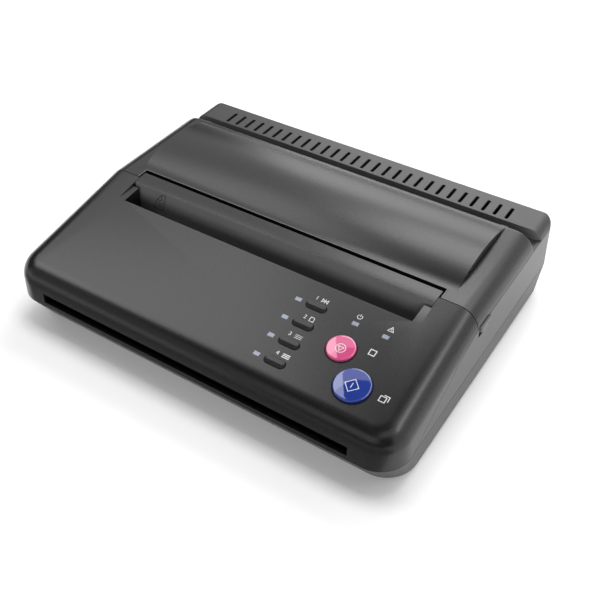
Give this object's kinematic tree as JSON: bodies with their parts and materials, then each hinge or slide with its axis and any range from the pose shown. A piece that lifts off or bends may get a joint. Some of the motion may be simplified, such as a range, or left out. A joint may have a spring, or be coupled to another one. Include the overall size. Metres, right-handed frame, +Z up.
{
  "type": "thermal stencil copier",
  "caption": "Desktop thermal copier with a hinged arched cover, document slot, sloping key panel, vented rear ridge and geared rollers.",
  "frame": {"origin": "on the floor, under the middle of the machine", "axes": "+X to the machine's right, +Y to its rear, +Z up"},
  "size_m": [0.28, 0.22, 0.07],
  "materials": {
    "case_plastic": "satin black moulded ABS",
    "pan_plastic": "satin dark grey moulded ABS",
    "key_plastic": "glossy black keys",
    "pink_plastic": "glossy pink cap",
    "blue_plastic": "glossy blue cap",
    "window_plastic": "smoked light window",
    "frame_steel": "zinc plated sheet steel",
    "shaft_steel": "ground steel",
    "roller_rubber": "silicone rubber",
    "gear_plastic": "natural acetal",
    "bush_plastic": "acetal bush",
    "motor_metal": "plated steel can",
    "board": "green circuit board",
    "chip_plastic": "black component bodies",
    "sink_aluminium": "extruded aluminium",
    "head_ceramic": "glazed ceramic strip",
    "glass": "clear glass",
    "pin_brass": "plated brass",
    "foot_rubber": "soft black rubber"
  },
  "bodies": {
    "case": {"bottom_pan": "pan_plastic", "upper_housing": "case_plastic", "front_cover": "case_plastic", "document_guide": "case_plastic", "left_side_frame": "frame_steel", "right_side_frame": "frame_steel", "frame_tie_bars": "shaft_steel", "exit_chute": "case_plastic", "stencil_guide": "case_plastic", "image_sensor": "chip_plastic", "sensor_glass": "glass", "drive_motor": "motor_metal", "idler_studs": "shaft_steel", "platen_bushes": "bush_plastic", "feed_bushes": "bush_plastic", "hinge_pins": "shaft_steel", "key_board": "board", "key_switches": "chip_plastic", "indicator_leds": "window_plastic", "indicator_windows": "window_plastic", "main_board": "board", "main_board_chips": "chip_plastic", "power_board": "board", "power_transformer": "chip_plastic", "power_capacitors": "chip_plastic", "power_inlet": "key_plastic", "inlet_pins": "pin_brass", "switch_body": "key_plastic", "rubber_feet": "foot_rubber", "pan_screws": "shaft_steel"},
    "cover": {"top_cover": "case_plastic", "head_bracket": "frame_steel", "head_heat_sink": "sink_aluminium", "thermal_head": "head_ceramic"},
    "platen": {"platen_roller": "roller_rubber", "platen_shaft": "shaft_steel", "platen_gear": "gear_plastic"},
    "feed": {"feed_sleeves": "roller_rubber", "feed_shaft": "shaft_steel", "feed_gear": "gear_plastic"},
    "platen_idler": {"platen_idler_gear": "gear_plastic"},
    "feed_idler": {"feed_idler_gear": "gear_plastic"},
    "motor_rotor": {"motor_shaft": "shaft_steel", "motor_pinion": "pin_brass"},
    "rocker": {"power_rocker": "key_plastic"},
    "stop_key": {"stop_button": "pink_plastic"},
    "copy_key": {"copy_button": "blue_plastic"},
    "left_latch_tab": {"left_latch": "case_plastic"},
    "right_latch_tab": {"right_latch": "case_plastic"},
    "pill_key_1": {"key_1": "key_plastic"},
    "pill_key_2": {"key_2": "key_plastic"},
    "pill_key_3": {"key_3": "key_plastic"},
    "pill_key_4": {"key_4": "key_plastic"}
  },
  "joints": [
    {"name": "cover_hinge", "type": "hinge", "parent": "case", "child": "cover", "pos_m": [0, 0.07105, 0.0557], "axis": [-1, 0, 0], "range_deg": [0, 65]},
    {"name": "platen_turn", "type": "hinge", "parent": "case", "child": "platen", "pos_m": [-0.1273, 0.03775, 0.046], "axis": [1, 0, 0], "continuous": true},
    {"name": "feed_turn", "type": "hinge", "parent": "case", "child": "feed", "pos_m": [-0.1273, -0.0388, 0.03393], "axis": [1, 0, 0], "continuous": true},
    {"name": "platen_idler_turn", "type": "hinge", "parent": "case", "child": "platen_idler", "pos_m": [-0.1273, 0.01516, 0.02921], "axis": [1, 0, 0], "continuous": true},
    {"name": "feed_idler_turn", "type": "hinge", "parent": "case", "child": "feed_idler", "pos_m": [-0.1273, -0.01955, 0.02381], "axis": [1, 0, 0], "continuous": true},
    {"name": "motor_turn", "type": "hinge", "parent": "case", "child": "motor_rotor", "pos_m": [-0.1273, -0.005, 0.0235], "axis": [1, 0, 0], "continuous": true},
    {"name": "rocker_tilt", "type": "hinge", "parent": "case", "child": "rocker", "pos_m": [-0.055, 0.1045, 0.038], "axis": [0, 0, 1], "range_deg": [0, 14]},
    {"name": "key_1_press", "type": "slide", "parent": "case", "child": "pill_key_1", "axis": [0, 0.1822, -0.9833], "range_m": [0, 0.0006], "stiffness_N_per_m": 800},
    {"name": "key_2_press", "type": "slide", "parent": "case", "child": "pill_key_2", "axis": [0, 0.1822, -0.9833], "range_m": [0, 0.0006], "stiffness_N_per_m": 800},
    {"name": "key_3_press", "type": "slide", "parent": "case", "child": "pill_key_3", "axis": [0, 0.1822, -0.9833], "range_m": [0, 0.0006], "stiffness_N_per_m": 800},
    {"name": "key_4_press", "type": "slide", "parent": "case", "child": "pill_key_4", "axis": [0, 0.1822, -0.9833], "range_m": [0, 0.0006], "stiffness_N_per_m": 800},
    {"name": "stop_press", "type": "slide", "parent": "case", "child": "stop_key", "axis": [0, 0.1822, -0.9833], "range_m": [0, 0.0006], "stiffness_N_per_m": 800},
    {"name": "copy_press", "type": "slide", "parent": "case", "child": "copy_key", "axis": [0, 0.1822, -0.9833], "range_m": [0, 0.0006], "stiffness_N_per_m": 800},
    {"name": "left_latch_press", "type": "slide", "parent": "case", "child": "left_latch_tab", "axis": [1, 0, 0], "range_m": [0, 0.002], "stiffness_N_per_m": 600},
    {"name": "right_latch_press", "type": "slide", "parent": "case", "child": "right_latch_tab", "axis": [-1, 0, 0], "range_m": [0, 0.002], "stiffness_N_per_m": 600}
  ],
  "couplings": [
    {"joint": "platen_idler_turn", "follows": "platen_turn", "ratio": -0.75},
    {"joint": "motor_turn", "follows": "platen_turn", "ratio": 2.5},
    {"joint": "feed_idler_turn", "follows": "platen_turn", "ratio": -1.25},
    {"joint": "feed_turn", "follows": "platen_turn", "ratio": 1}
  ]
}
